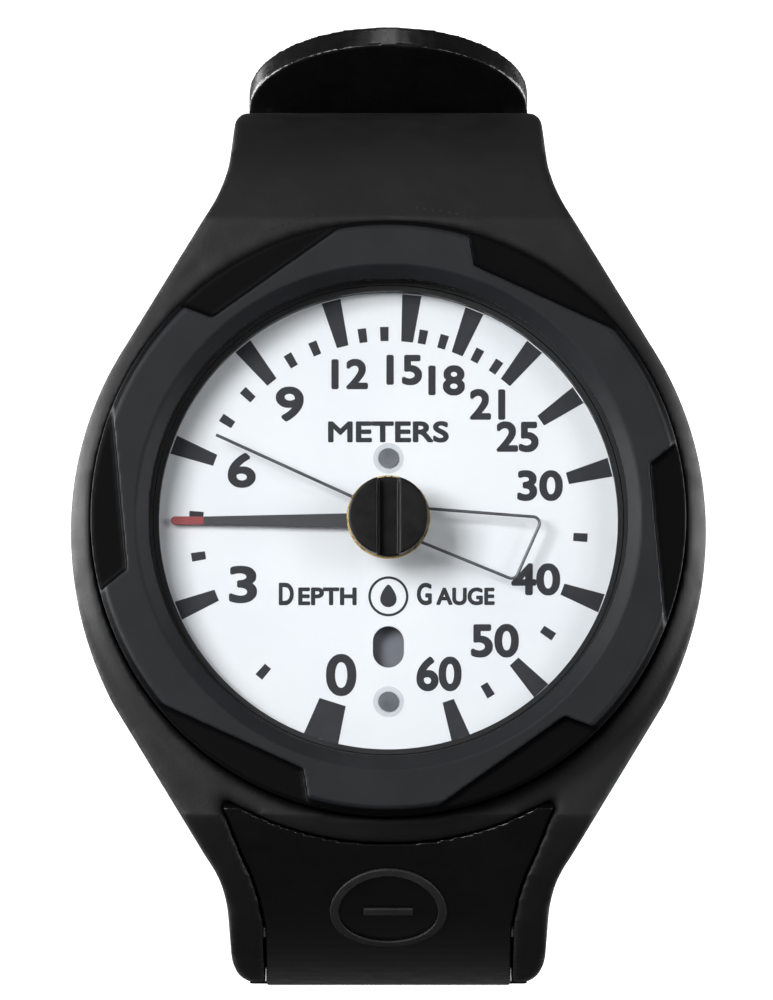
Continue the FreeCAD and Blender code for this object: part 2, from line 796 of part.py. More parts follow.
def plate_outline(sketch, low, bores):
    half = "plate_half_width"
    add_polygon(sketch, [(f"- {half}", low), (half, low), (half, "plate_high"),
                         (f"- {half}", "plate_high")])
    for radius, across, up in bores:
        add_circle(sketch, radius, across, up)


PILLARS = [("pillar_x", "6.6"), ("- pillar_x", "6.6"), ("pillar_x", "- 13.0")]


def make_plates():
    arbor_hole = "arbor_radius + arbor_clearance"
    bores = [(arbor_hole, "0", "0"), (arbor_hole, "sector_x", "sector_y")]
    bores += [("screw_radius", across, up) for across, up in PILLARS]
    screw_bores = [("dial_screw_radius", "0", "dial_screw_high"),
                   ("dial_screw_radius", "0", "dial_screw_low")]
    padded("upper_plate", "upper_plate_back", "upper_plate_front",
           lambda sketch: plate_outline(sketch, "plate_low", bores + screw_bores))
    padded("lower_plate", "lower_plate_back", "lower_plate_front",
           lambda sketch: plate_outline(sketch, "plate_tail", bores))
    pillars = []
    screws = []
    for index, (across, up) in enumerate(PILLARS):
        outer = rod(f"pillar_{index}_outside", "pillar_radius", "lower_plate_front",
                    "upper_plate_back", across, up)
        inner = rod(f"pillar_{index}_inside", "screw_radius", "lower_plate_front",
                    "upper_plate_back", across, up)
        pillar = doc.addObject("Part::Cut", f"pillar_{index}")
        pillar.Base = outer
        pillar.Tool = inner
        pillars.append(pillar)
        shank = rod(f"plate_screw_{index}_shank", "screw_radius - 0.02", "lower_plate_back",
                    "upper_plate_front", across, up)
        head = rod(f"plate_screw_{index}_head", "screw_head_radius", "upper_plate_front",
                   "upper_plate_front + 0.9", across, up)
        fuse = doc.addObject("Part::MultiFuse", f"plate_screw_{index}")
        fuse.Shapes = [shank, head]
        screws.append(fuse)
    group("plate_pillars", pillars)
    group("plate_screws", screws)
    # the lower plate stands on the case floor through the tube's socket and a round foot
    keep(rod("movement_foot", "2.0", "case_floor", "lower_plate_back", "0", "7.0"),
         "movement_foot")


TUBE_START = -84.0
TUBE_END = 160.0


def make_tube():
    radius = size("tube_radius")
    half = size("tube_thick") / 2
    back = size("tube_back")
    front = back + size("tube_wide")
    section = Part.Face(Part.makePolygon([
        V(radius - half, 0, back), V(radius + half, 0, back), V(radius + half, 0, front),
        V(radius - half, 0, front), V(radius - half, 0, back)]))
    tube = section.revolve(V(), V(0, 0, 1), TUBE_END - TUBE_START)
    tube.rotate(V(), V(0, 0, 1), TUBE_START)
    rounded = tube.makeFillet(half * 0.8, [
        edge for edge in tube.Edges
        if abs(edge.BoundBox.ZLength) < 1e-6 and edge.Length > 20])
    shaped("bourdon_tube", rounded)
    # the socket block fills the stretch at 6 o'clock and stands on the case floor
    socket = box((-4.6, -22.6, size("case_floor")), (1.9, -17.0, size("lower_plate_back")))
    lug = box((-4.6, -22.6, size("lower_plate_back")), (1.9, -21.5, 12.4))
    shape = socket.fuse(lug)
    gap = Part.makeCylinder(radius + half + 0.05, 20, V(0, 0, back - 0.05))
    gap = gap.cut(Part.makeCylinder(radius - half - 0.05, 20, V(0, 0, back - 0.05)))
    wedge = prism([V(), polar(40, TUBE_START - 0.5), polar(40, TUBE_START + 30)], V(0, 0, 20))
    shaped("tube_socket", shape.cut(gap.common(wedge)).removeSplitter())


TIP_PIN = (-10.49, 5.245)
TAIL_PIN = (-10.49, -6.755)


def make_tip():
    """The block soldered to the free end of the tube, with the pin of the link."""
    block = Part.makeCylinder(21.2, 4.6, V(0, 0, 7.6))
    block = block.cut(Part.makeCylinder(18.8, 20))
    block = block.common(prism([V(), polar(40, TUBE_END + 0.1), polar(40, TUBE_END + 6.0)],
                               V(0, 0, 30)))
    arm = box((-19.6, TIP_PIN[1] - 0.8, 9.0), (TIP_PIN[0] + 1.0, TIP_PIN[1] + 0.8, 9.8))
    pin = Part.makeCylinder(0.4, 1.4, V(TIP_PIN[0], TIP_PIN[1], 9.8))
    shaped("tube_tip_block", block.fuse(arm).fuse(pin).removeSplitter())


def make_link():
    start = V(TAIL_PIN[0], TAIL_PIN[1], 11.0)
    end = V(TIP_PIN[0], TIP_PIN[1], 11.0)
    thick = 0.4
    shape = Part.makeCylinder(1.2, thick, start).fuse(Part.makeCylinder(1.6, thick, end))
    shape = shape.fuse(box((start.x - 0.6, start.y, 11.0), (start.x + 0.6, end.y, 11.0 + thick)))
    shape = shape.cut(Part.makeCylinder(0.42, 3, start - V(0, 0, 1)))
    shape = shape.cut(Part.makeCylinder(0.85, 3, end - V(0, 0, 1)))
    shaped("link", shape.removeSplitter())


def gear_points(teeth, pitch_radius, first, last, phase, addendum):
    """Corner points of straight-flanked teeth from one tooth number to another."""
    points = []
    step = 360.0 / teeth
    for index in range(first, last + 1):
        middle = phase + index * step
        for offset, radius in ((-0.30, pitch_radius - addendum), (-0.13, pitch_radius + addendum),
                               (0.13, pitch_radius + addendum), (0.30, pitch_radius - addendum)):
            points.append(polar(radius, middle + offset * step))
    return points


def make_gears():
    back = size("gear_back")
    thick = size("gear_front") - back
    sector_centre = V(size("sector_x"), size("sector_y"), 0)
    # a tooth of the sector meets a gap of the pinion on the line of centres, at 60 degrees
    teeth = gear_points(90, size("sector_radius"), -4, 9, 60.0, 0.11)
    rim = [sector_centre + spot for spot in teeth]
    edge = [rim[-1], sector_centre + polar(2.2, 130), sector_centre + polar(2.2, -10)]
    face = Part.Face(Part.makePolygon([*rim, edge[1], edge[2], rim[0]]))
    shape = face.extrude(V(0, 0, thick))
    shape = shape.fuse(Part.makeCylinder(2.2, thick, sector_centre))
    tail = V(TAIL_PIN[0], TAIL_PIN[1], 0)
    along = tail - sector_centre
    along.normalize()
    side = V(-along.y, along.x, 0) * 1.0
    shape = shape.fuse(prism([sector_centre + side, tail + side, tail - side,
                              sector_centre - side], V(0, 0, thick)))
    shape = shape.fuse(Part.makeCylinder(1.0, thick, tail))
    shape = shape.cut(Part.makeCylinder(size("arbor_radius"), 9, sector_centre - V(0, 0, 1)))
    shape = shape.cut(Part.makeCylinder(0.38, 9, tail - V(0, 0, 1)))
    shape.translate(V(0, 0, back))
    shaped("sector_gear", shape.removeSplitter())
    keep(rod("sector_arbor", "arbor_radius", "lower_plate_back", "upper_plate_front",
             "sector_x", "sector_y"), "sector_arbor")
    shaped("link_pin", Part.makeCylinder(0.38, 1.6, V(TAIL_PIN[0], TAIL_PIN[1], back)))
    # the pinion: ten teeth, with a gap facing the sector
    points = gear_points(10, size("pinion_radius"), 0, 9, 240.0 + 18.0, 0.11)
    pinion = Part.Face(Part.makePolygon([*points, points[0]])).extrude(V(0, 0, thick))
    pinion.translate(V(0, 0, back))
    pinion = pinion.cut(Part.makeCylinder(size("arbor_radius"), 9, V(0, 0, back - 1)))
    shaped("pointer_pinion", pinion.removeSplitter())
    keep(rod("pointer_arbor", "arbor_radius", "lower_plate_back", "pointer_front + 0.3"),
         "pointer_arbor")
    washer("hairspring_collet", "1.0", "arbor_radius", "11.4", "12.2")


def make_hairspring():
    """A flat coil of half circles that grow by the same step, outside the collet."""
    edges = []
    radius = 1.35
    grow = 0.22
    spot = radius
    for index in range(12):
        sign = 1 if index % 2 == 0 else -1
        start = V(sign * spot, 0, 11.8)
        after = spot + grow
        end = V(-sign * after, 0, 11.8)
        reach = (spot + after) / 2
        middle = V((start.x + end.x) / 2, sign * reach, 11.8)
        edges.append(arc(start, middle, end))
        spot = after
    path = Part.Wire(edges)
    first = radius
    profile = Part.makePolygon([V(first - 0.05, 0, 11.55), V(first + 0.05, 0, 11.55),
                                V(first + 0.05, 0, 12.05), V(first - 0.05, 0, 12.05),
                                V(first - 0.05, 0, 11.55)])
    shaped("hairspring", path.makePipeShell([profile], True, False))
    stud = Part.makeCylinder(0.4, size("upper_plate_back") - 11.4, V(spot + 0.47, 0, 11.4))
    shaped("hairspring_stud", stud)


# ---- hands and reset knob -----------------------------------------------------------------

def make_hands():
    """The pointer lies towards 9 o'clock; the wire hand rests on the higher readings."""
    back = size("pointer_back")
    thick = size("pointer_front") - back
    length = size("pointer_length")
    tail = size("pointer_tail")
    blade = prism([V(-length, 0.3, 0), V(-length + 1.0, 0.45, 0), V(0, 0.85, 0),
                   V(tail, 0.85, 0), V(tail, -0.85, 0), V(0, -0.85, 0),
                   V(-length + 1.0, -0.45, 0), V(-length, -0.3, 0)], V(0, 0, thick))
    blade = blade.fuse(Part.makeCylinder(2.6, thick))
    blade = blade.cut(Part.makeCylinder(1.0, 9, V(0, 0, -1)))
    blade.translate(V(0, 0, back))
    shaped("depth_pointer", blade.removeSplitter())
    revolved("pointer_hub", [
        ("arbor_radius", "pointer_back - 0.5"), ("1.6", "pointer_back - 0.5"),
        ("1.6", "pointer_back"), ("1.0", "pointer_back"), ("1.0", "pointer_front + 0.3"),
        ("arbor_radius", "pointer_front + 0.3")])


WIRE_LEFT = V(-18.2, 8.97, 0)
WIRE_ANCHOR_LEFT = V(-2.95, 2.03, 0)
WIRE_RIGHT_HIGH = V(3.2, 1.24, 0)
WIRE_RIGHT_LOW = V(2.8, -2.11, 0)
WIRE_RING = 3.4
WIRE_CORNER = V(16.3, 0.21, 0)
WIRE_HEEL = V(13.35, -6.43, 0)


def rounded_path(points, radius, height):
    """Straight runs through the points with tangent arcs of one radius at the corners."""
    edges = []
    start = points[0]
    for before, corner, after in zip(points, points[1:], points[2:]):
        inward = (before - corner)
        outward = (after - corner)
        inward.normalize()
        outward.normalize()
        half = math.acos(inward.dot(outward)) / 2
        reach = radius / math.tan(half)
        first = corner + inward * reach
        last = corner + outward * reach
        bisector = inward + outward
        bisector.normalize()
        middle = corner + bisector * (radius / math.sin(half) - radius)
        edges.append(line(start, first))
        edges.append(arc(first, middle, last))
        start = last
    edges.append(line(start, points[-1]))
    wire = Part.Wire(edges)
    wire.translate(V(0, 0, height))
    return wire


def swept_wire(path, radius):
    first = path.OrderedEdges[0]
    circle = Part.Wire(Part.Circle(
        first.valueAt(first.FirstParameter), first.tangentAt(first.FirstParameter),
        radius).toShape())
    return path.makePipeShell([circle], True, False)


def make_knob():
    height = size("wire_height")
    radius = size("wire_radius")
    arm = swept_wire(rounded_path([WIRE_LEFT, WIRE_ANCHOR_LEFT], 1.0, height), radius)
    loop = swept_wire(rounded_path(
        [WIRE_RIGHT_HIGH, WIRE_CORNER, WIRE_HEEL, WIRE_RIGHT_LOW], 0.7, height), radius)
    ring = Part.makeTorus(WIRE_RING, radius * 1.25, V(0, 0, height))
    spokes = box((-WIRE_RING, -0.5, height - 0.2), (WIRE_RING, 0.5, height + 0.2))
    spokes = spokes.cut(Part.makeCylinder(2.0, 9, V(0, 0, height - 3)))
    hand = arm.fuse(loop).fuse(ring).fuse(spokes)
    shaped("max_depth_hand", hand.removeSplitter())
    washer("max_hand_hub", "2.0", "shaft_radius", "wire_height - 0.5", "lens_back - 0.05")
    # the knob with its coin slot, open at both ends
    head = rod("knob_head", "knob_radius", "knob_back", "knob_front")
    shaft = rod("knob_shaft", "shaft_radius", "wire_height - 0.5", "knob_back")
    whole = doc.addObject("Part::MultiFuse", "knob_whole")
    whole.Shapes = [head, shaft]
    slot = doc.addObject("Part::Box", "knob_slot")
    slot.Placement = TURN
    slot.setExpression("Length", "2 * sizes.slot_half_width")
    slot.setExpression("Width", "2 * sizes.knob_radius + 2")
    slot.setExpression("Height", "sizes.knob_front - sizes.slot_floor + 1")
    slot.setExpression("Placement.Base.x", "-sizes.slot_half_width")
    slot.setExpression("Placement.Base.y", "-sizes.slot_floor")
    slot.setExpression("Placement.Base.z", "-sizes.knob_radius - 1")
    cut("reset_knob", whole, slot)
    revolved("knob_bush", [
        ("bush_bore", "lens_back"), ("lens_bore - 0.01", "lens_back"),
        ("lens_bore - 0.01", "lens_front"), ("4.4", "lens_front"),
        ("4.4", "lens_front + 0.3"), ("bush_bore", "lens_front + 0.3")])
    washer("knob_seal", "2.6", "bush_bore", "lens_front + 0.32", "knob_back - 0.03")


def write_parts():
    """Checks every object, then writes one file for each sub-part."""
    doc.recompute()
    for item in doc.Objects:
        if "Invalid" in item.State or "Error" in item.State:
            raise RuntimeError(f"{item.Name} failed: {item.State}")
    os.makedirs("parts", exist_ok=True)
    for item in nodes:
        shape = item.Shape
        if shape.isNull() or not shape.isValid() or not shape.Solids:
            raise RuntimeError(f"{item.Label} has no valid solid")
        shape.exportStep(f"parts/{item.Label}.step")
    print(len(nodes), "sub-parts")


make_boot()
make_strap_bars()
make_long_strap()
shaped("strap_badge", make_badge())
make_short_strap()
make_buckle()
make_keepers()
make_case()
make_cover()
make_bezel()
make_dial()
make_plates()
make_tube()
make_tip()
make_link()
make_gears()
make_hairspring()
make_hands()
make_knob()
write_parts()
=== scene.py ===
"""Looks of the analogue wrist depth gauge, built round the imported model. Lengths are in metres."""
import json
import math

import bmesh
import bpy
from mathutils import Matrix, Vector


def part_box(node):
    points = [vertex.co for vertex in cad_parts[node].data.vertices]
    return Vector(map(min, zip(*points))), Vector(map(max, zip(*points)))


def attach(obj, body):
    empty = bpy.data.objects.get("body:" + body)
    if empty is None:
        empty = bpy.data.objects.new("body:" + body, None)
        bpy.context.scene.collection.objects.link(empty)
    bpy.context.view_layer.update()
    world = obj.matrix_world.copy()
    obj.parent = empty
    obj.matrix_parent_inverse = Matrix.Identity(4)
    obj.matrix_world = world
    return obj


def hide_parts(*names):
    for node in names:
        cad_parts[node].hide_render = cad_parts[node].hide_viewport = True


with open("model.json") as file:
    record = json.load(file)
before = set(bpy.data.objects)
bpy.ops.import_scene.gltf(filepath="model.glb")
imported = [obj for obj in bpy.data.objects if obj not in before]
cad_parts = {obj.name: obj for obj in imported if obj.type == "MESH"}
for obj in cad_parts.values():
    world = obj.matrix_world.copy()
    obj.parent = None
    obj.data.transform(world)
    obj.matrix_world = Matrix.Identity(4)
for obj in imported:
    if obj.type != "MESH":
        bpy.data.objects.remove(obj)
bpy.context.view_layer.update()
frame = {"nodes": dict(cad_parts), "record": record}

MM = 0.001
NOISE_ROUGHNESS = 0.55
MOTTLE_LOW = 0.3
MOTTLE_HIGH = 0.7
BODY_OF = {node: body for body, members in frame["record"]["behaviour"]["bodies"].items()
           for node in members}
SLOT_OF = {item["node"]: item["material_slot"] for item in frame["record"]["subparts"]}


# ---- materials ----------------------------------------------------------------------------

class Shader:
    """A Principled material with helpers for object-space procedural detail."""

    def __init__(self, name, colour, roughness, metallic=0.0, specular=0.5):
        self.material = bpy.data.materials.new(name)
        self.material.use_nodes = True
        self.nodes = self.material.node_tree.nodes
        self.links = self.material.node_tree.links
        self.surface = self.nodes["Principled BSDF"]
        self.surface.inputs["Base Color"].default_value = (*colour, 1.0)
        self.surface.inputs["Roughness"].default_value = roughness
        self.surface.inputs["Metallic"].default_value = metallic
        self.surface.inputs["Specular IOR Level"].default_value = specular
        self.place = self.nodes.new("ShaderNodeTexCoord").outputs["Object"]

    def noise(self, size_mm, detail=4.0, stretch=(1.0, 1.0, 1.0)):
        """Noise whose features are about size_mm across."""
        mapping = self.nodes.new("ShaderNodeMapping")
        scale = 1.0 / (size_mm * MM)
        mapping.inputs["Scale"].default_value = [scale * part for part in stretch]
        self.links.new(self.place, mapping.inputs["Vector"])
        node = self.nodes.new("ShaderNodeTexNoise")
        node.inputs["Scale"].default_value = 1.0
        node.inputs["Detail"].default_value = detail
        node.inputs["Roughness"].default_value = NOISE_ROUGHNESS
        self.links.new(mapping.outputs["Vector"], node.inputs["Vector"])
        return node.outputs["Fac"]

    def ramp(self, source, low, high, start, end):
        """Maps a value that runs from low to high onto one that runs from start to end."""
        node = self.nodes.new("ShaderNodeMapRange")
        node.inputs["From Min"].default_value = low
        node.inputs["From Max"].default_value = high
        node.inputs["To Min"].default_value = start
        node.inputs["To Max"].default_value = end
        self.links.new(source, node.inputs["Value"])
        return node.outputs["Result"]

    def mottle(self, size_mm, low, high, detail=4.0, stretch=(1.0, 1.0, 1.0)):
        """Noise with its contrast raised, running from low to high."""
        return self.ramp(self.noise(size_mm, detail, stretch), MOTTLE_LOW, MOTTLE_HIGH, low, high)

    def blend(self, factor, first, second):
        """The first colour where the factor is 0 and the second where it is 1."""
        node = self.nodes.new("ShaderNodeMix")
        node.data_type = "RGBA"
        for socket, colour in ((node.inputs[6], first), (node.inputs[7], second)):
            if isinstance(colour, tuple):
                socket.default_value = (*colour, 1.0)
            else:
                self.links.new(colour, socket)
        self.links.new(factor, node.inputs[0])
        return node.outputs[2]

    def vary(self, size_mm, dark, light, stretch=(1.0, 1.0, 1.0)):
        """Soft mottling of the base colour between two tones."""
        factor = self.mottle(size_mm, 0.0, 1.0, stretch=stretch)
        self.links.new(self.blend(factor, dark, light), self.surface.inputs["Base Color"])

    def vary_roughness(self, size_mm, low, high, stretch=(1.0, 1.0, 1.0)):
        """Uneven sheen between two roughness values."""
        value = self.mottle(size_mm, low, high, 5.0, stretch)
        self.links.new(value, self.surface.inputs["Roughness"])

    def bump(self, layers):
        """Stacks bumps of (height source, depth in mm, strength)."""
        normal = None
        for height, depth_mm, strength in layers:
            node = self.nodes.new("ShaderNodeBump")
            node.inputs["Strength"].default_value = strength
            node.inputs["Distance"].default_value = depth_mm * MM
            self.links.new(height, node.inputs["Height"])
            if normal:
                self.links.new(normal, node.inputs["Normal"])
            normal = node.outputs["Normal"]
        self.links.new(normal, self.surface.inputs["Normal"])


def boot_rubber():
    shader = Shader("boot_rubber_look", (0.010, 0.010, 0.011), 0.62, specular=0.20)
    shader.vary(9.0, (0.0042, 0.0042, 0.0045), (0.0066, 0.0066, 0.007))
    shader.vary_roughness(3.0, 0.52, 0.64)
    shader.bump([(shader.noise(0.32, 3.0), 0.035, 0.55), (shader.noise(6.0, 2.0), 0.12, 0.25)])
    return shader.material


def strap_rubber():
    shader = Shader("strap_rubber_look", (0.002, 0.002, 0.0023), 0.26, specular=0.30)
    shader.vary(7.0, (0.0016, 0.0016, 0.0018), (0.003, 0.003, 0.0033))
    shader.vary_roughness(2.0, 0.20, 0.34)
    shader.bump([(shader.noise(0.5, 3.0), 0.008, 0.30), (shader.noise(9.0, 2.0), 0.10, 0.15)])
    return shader.material


def bezel_plastic():
    """Satin on the raised face, near black on the outer bevel and in the finger recesses: partly the
    black of the moulding, partly painted shade.
    """
    shader = Shader("bezel_look", (0.014, 0.014, 0.016), 0.5, specular=0.2)
    # near black for the sunk parts: the moulding's black with painted shade of the recesses and
    # outer bevel
    black = (0.002, 0.002, 0.0023)
    bevel_top = 0.12 * MM
    sunk_black_and_shade_depth = 0.34 * MM
    cone_edge = 27.0 * MM
    cone_clear = 27.3 * MM
    split = shader.nodes.new("ShaderNodeSeparateXYZ")
    shader.links.new(shader.place, split.inputs[0])
    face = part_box("bezel_ring")[0][1]
    sunk = shader.ramp(split.outputs["Y"], face + bevel_top, face + sunk_black_and_shade_depth, 0.0, 1.0)
    across = shader.nodes.new("ShaderNodeVectorMath")
    across.operation = "MULTIPLY"
    across.inputs[1].default_value = (1.0, 0.0, 1.0)
    shader.links.new(shader.place, across.inputs[0])
    radius = shader.nodes.new("ShaderNodeVectorMath")
    radius.operation = "LENGTH"
    shader.links.new(across.outputs["Vector"], radius.inputs[0])
    outer = shader.ramp(radius.outputs["Value"], cone_edge, cone_clear, 0.0, 1.0)
    both = shader.nodes.new("ShaderNodeMath")
    both.operation = "MULTIPLY"
    shader.links.new(sunk, both.inputs[0])
    shader.links.new(outer, both.inputs[1])
    # dark is the mask of this painted shade and black, deeper than the face and outside the inner
    # cone
    dark = both.outputs[0]
    matte = shader.blend(shader.mottle(5.0, 0.0, 1.0), (0.0085, 0.009, 0.0105),
                         (0.0115, 0.012, 0.014))
    shader.links.new(shader.blend(dark, matte, black), shader.surface.inputs["Base Color"])
    shader.links.new(shader.ramp(dark, 0.0, 1.0, 0.52, 0.42),
                     shader.surface.inputs["Roughness"])
    shader.links.new(shader.ramp(dark, 0.0, 1.0, 0.13, 0.03),
                     shader.surface.inputs["Specular IOR Level"])
    shader.bump([(shader.noise(0.22, 3.0), 0.014, 0.5), (shader.noise(3.5, 2.0), 0.04, 0.2)])
    return shader.material


def clear_lens():
    """Polished acrylic: clear through, with reflections that grow at a slant."""
    material = bpy.data.materials.new("lens_look")
    material.use_nodes = True
    nodes, links = material.node_tree.nodes, material.node_tree.links
    nodes.remove(nodes["Principled BSDF"])
    clear = nodes.new("ShaderNodeBsdfTransparent")
    clear.inputs["Color"].default_value = (0.985, 0.99, 0.995, 1.0)
    shine = nodes.new("ShaderNodeBsdfGlossy")
    shine.inputs["Roughness"].default_value = 0.03
    fresnel = nodes.new("ShaderNodeFresnel")
    fresnel.inputs["IOR"].default_value = 1.42
    noise = nodes.new("ShaderNodeTexNoise")
    noise.inputs["Scale"].default_value = 60.0
    place = nodes.new("ShaderNodeTexCoord")
    links.new(place.outputs["Object"], noise.inputs["Vector"])
    bump = nodes.new("ShaderNodeBump")
    bump.inputs["Strength"].default_value = 0.05
    bump.inputs["Distance"].default_value = 0.05 * MM
    links.new(noise.outputs["Fac"], bump.inputs["Height"])
    links.new(bump.outputs["Normal"], shine.inputs["Normal"])
    mix = nodes.new("ShaderNodeMixShader")
    links.new(fresnel.outputs["Fac"], mix.inputs["Fac"])
    links.new(clear.outputs["BSDF"], mix.inputs[1])
    links.new(shine.outputs["BSDF"], mix.inputs[2])
    links.new(mix.outputs["Shader"], nodes["Material Output"].inputs["Surface"])
    return material


def dial_white():
    shader = Shader("dial_look", (0.9, 0.92, 0.94), 0.45)
    shader.vary(14.0, (0.86, 0.89, 0.92), (0.92, 0.94, 0.955))
    shader.vary_roughness(2.0, 0.40, 0.50)
    shader.bump([(shader.noise(0.4, 3.0), 0.004, 0.3)])
    return shader.material


def print_ink():
    shader = Shader("ink_look", (0.02, 0.022, 0.028), 0.5, specular=0.25)
    shader.vary(1.5, (0.018, 0.020, 0.025), (0.026, 0.029, 0.036))
    shader.bump([(shader.noise(0.15, 3.0), 0.004, 0.3)])
    return shader.material


def plain_look(name, dark, light, roughness, grain_mm, depth_mm, metallic=0.0, specular=0.5,
               stretch=(1.0, 1.0, 1.0)):
    """A simple moulded, painted or metal surface with mottling, fine grain and uneven sheen."""
    shader = Shader(name, light, roughness[1], metallic, specular)
    shader.vary(grain_mm * 12, dark, light, stretch=stretch)
    shader.vary_roughness(grain_mm * 6, roughness[0], roughness[1], stretch)
    shader.bump([(shader.noise(grain_mm, 4.0, stretch), depth_mm, 0.4)])
    return shader.material


LOOKS = {
    "boot_rubber": boot_rubber(),
    "strap_rubber": strap_rubber(),
    "bezel_plastic": bezel_plastic(),
    "lens_clear": clear_lens(),
    "dial_white": dial_white(),
    "case_plastic": plain_look("case_look", (0.004, 0.004, 0.0045), (0.007, 0.007, 0.008),
                               (0.45, 0.6), 0.3, 0.01, specular=0.3),
    "pointer_paint": plain_look("pointer_look", (0.026, 0.028, 0.034), (0.034, 0.037, 0.044),
                                (0.4, 0.5), 0.2, 0.004),
    "wire_steel": plain_look("wire_look", (0.10, 0.105, 0.115), (0.16, 0.165, 0.18),
                             (0.3, 0.42), 0.15, 0.004, metallic=0.6),
    "knob_plastic": plain_look("knob_look", (0.002, 0.002, 0.0023), (0.0034, 0.0034, 0.0038),
                               (0.30, 0.42), 0.25, 0.008, specular=0.15),
    "brass": plain_look("brass_look", (0.50, 0.36, 0.15), (0.66, 0.49, 0.22),
                        (0.22, 0.36), 0.2, 0.004, metallic=1.0),
    "steel": plain_look("steel_look", (0.42, 0.43, 0.45), (0.58, 0.59, 0.61),
                        (0.18, 0.32), 0.2, 0.004, metallic=1.0, stretch=(0.15, 1.0, 1.0)),
    "spring_bronze": plain_look("bronze_look", (0.42, 0.26, 0.12), (0.58, 0.38, 0.19),
                                (0.28, 0.42), 0.2, 0.004, metallic=1.0),
    "seal_rubber": plain_look("seal_look", (0.012, 0.012, 0.012), (0.02, 0.02, 0.02),
                              (0.5, 0.65), 0.3, 0.01),
    "badge_rubber": plain_look("badge_look", (0.010, 0.010, 0.0108), (0.015, 0.015, 0.016),
                               (0.55, 0.7), 0.25, 0.012, specular=0.3),
}
INK = print_ink()
RED = plain_look("red_tip_look", (0.27, 0.030, 0.033), (0.32, 0.042, 0.045), (0.4, 0.5), 0.2, 0.004)
SCREW_GREY = plain_look("dial_screw_look", (0.10, 0.11, 0.125), (0.15, 0.16, 0.175),
                        (0.35, 0.5), 0.15, 0.004, metallic=0.4)
WINDOW_GREY = plain_look("window_look", (0.17, 0.18, 0.205), (0.20, 0.21, 0.24),
                         (0.4, 0.5), 0.2, 0.004)
# pale grey for flat rings that stand for the shaded countersinks round the dial screws: painted
# shade
COUNTERSINK_SHADE = plain_look("countersink_shade_look", (0.60, 0.63, 0.66), (0.70, 0.73, 0.76),
                       (0.4, 0.5), 0.2, 0.004)


# ---- piece helpers ------------------------------------------------------------------------

def add_piece(name, mesh, body, look):
    """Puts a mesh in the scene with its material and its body."""
    piece = bpy.data.objects.new(name, mesh)
    bpy.context.scene.collection.objects.link(piece)
    mesh.materials.clear()
    mesh.materials.append(look)
    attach(piece, body)
    return piece


def from_bmesh(name, builder, body, look):
    """Makes a piece from a function that fills a bmesh."""
    mesh = bpy.data.meshes.new(name)
    work = bmesh.new()
    builder(work)
    bmesh.ops.recalc_face_normals(work, faces=work.faces)
    work.to_mesh(mesh)
    work.free()
    return add_piece(name, mesh, body, look)


def applied(source, modifiers):
    """A new mesh: the source mesh with a list of (kind, settings) modifiers applied."""
    holder = bpy.data.objects.new("holder", source.copy())
    bpy.context.scene.collection.objects.link(holder)
    for kind, settings in modifiers:
        modifier = holder.modifiers.new(kind, kind)
        for key, value in settings.items():
            setattr(modifier, key, value)
    graph = bpy.context.evaluated_depsgraph_get()
    mesh = bpy.data.meshes.new_from_object(holder.evaluated_get(graph))
    bpy.data.objects.remove(holder)
    return mesh


def soften(node, name, voxel_mm, rounds):
    """Stands a moulded version of a CAD node in its place: the same form with eased edges."""
    source = frame["nodes"][node].data
    mesh = applied(source, [
        ("REMESH", {"mode": "VOXEL", "voxel_size": voxel_mm * MM, "use_smooth_shade": True}),
        ("SMOOTH", {"factor": 0.5, "iterations": rounds})])
    for polygon in mesh.polygons:
        polygon.use_smooth = True
    piece = add_piece(name, mesh, BODY_OF[node], LOOKS[SLOT_OF[node]])
    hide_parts(node)


def extrude_outline(work, outline, y_front, y_back):
    """A flat plate with its outline in X and Z and its thickness along Y."""
    front = [work.verts.new((x, y_front, z)) for x, z in outline]
    back = [work.verts.new((x, y_back, z)) for x, z in outline]
    count = len(outline)
    work.faces.new(front)
    work.faces.new(list(reversed(back)))
    for index in range(count):
        after = (index + 1) % count
        work.faces.new((front[index], back[index], back[after], front[after]))


def clock(radius, degrees, centre=(0.0, 0.0)):
    """A point at a clock angle: 0 degrees is 12 o'clock, growing clockwise."""
    angle = math.radians(degrees)
    return (centre[0] + radius * math.sin(angle), centre[1] + radius * math.cos(angle))


# ---- moulded parts ------------------------------------------------------------------------

def build_moulded_parts():
    soften("boot", "boot_moulded", 0.42, 10)
    roll_boot_flanks()
    soften("long_strap", "long_strap_moulded", 0.25, 2)
    soften("short_strap", "short_strap_moulded", 0.32, 4)
    soften("fixed_keeper", "fixed_keeper_moulded", 0.22, 4)
    soften("sliding_keeper", "sliding_keeper_moulded", 0.22, 4)
    soften("bezel_ring", "bezel_moulded", 0.20, 2)
    soften("reset_knob", "reset_knob_moulded", 0.09, 3)
    soften("buckle_frame", "buckle_frame_cast", 0.16, 3)
    soften("buckle_prong", "buckle_prong_formed", 0.10, 3)
    soften("strap_badge", "strap_badge_moulded", 0.07, 3)


def roll_boot_flanks():
    """Slopes the boot's rim away from the bezel at both sides, so the flanks look rolled."""
    seat = 31.6 * MM
    shoulder = -12.0 * MM
    height = 6.0 * MM
    deepest = 2.0 * MM
    for vertex in bpy.data.objects["boot_moulded"].data.vertices:
        x, y, z = vertex.co
        radius = math.hypot(x, z)
        if radius > seat and y < shoulder:
            sideways = (abs(x) / radius) ** 4
            lift = min(1.0, (shoulder - y) / height)
            vertex.co.y += min(radius - seat, deepest) * sideways * lift


def boot_front_y(x, z):
    """Where a line from the front at one spot meets the moulded boot's skin."""
    boot = bpy.data.objects["boot_moulded"]
    well_in_front = -100 * MM
    hit, place, _, _ = boot.ray_cast(Vector((x, well_in_front, z)), Vector((0, 1, 0)))
    return place.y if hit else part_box("boot")[0][1]


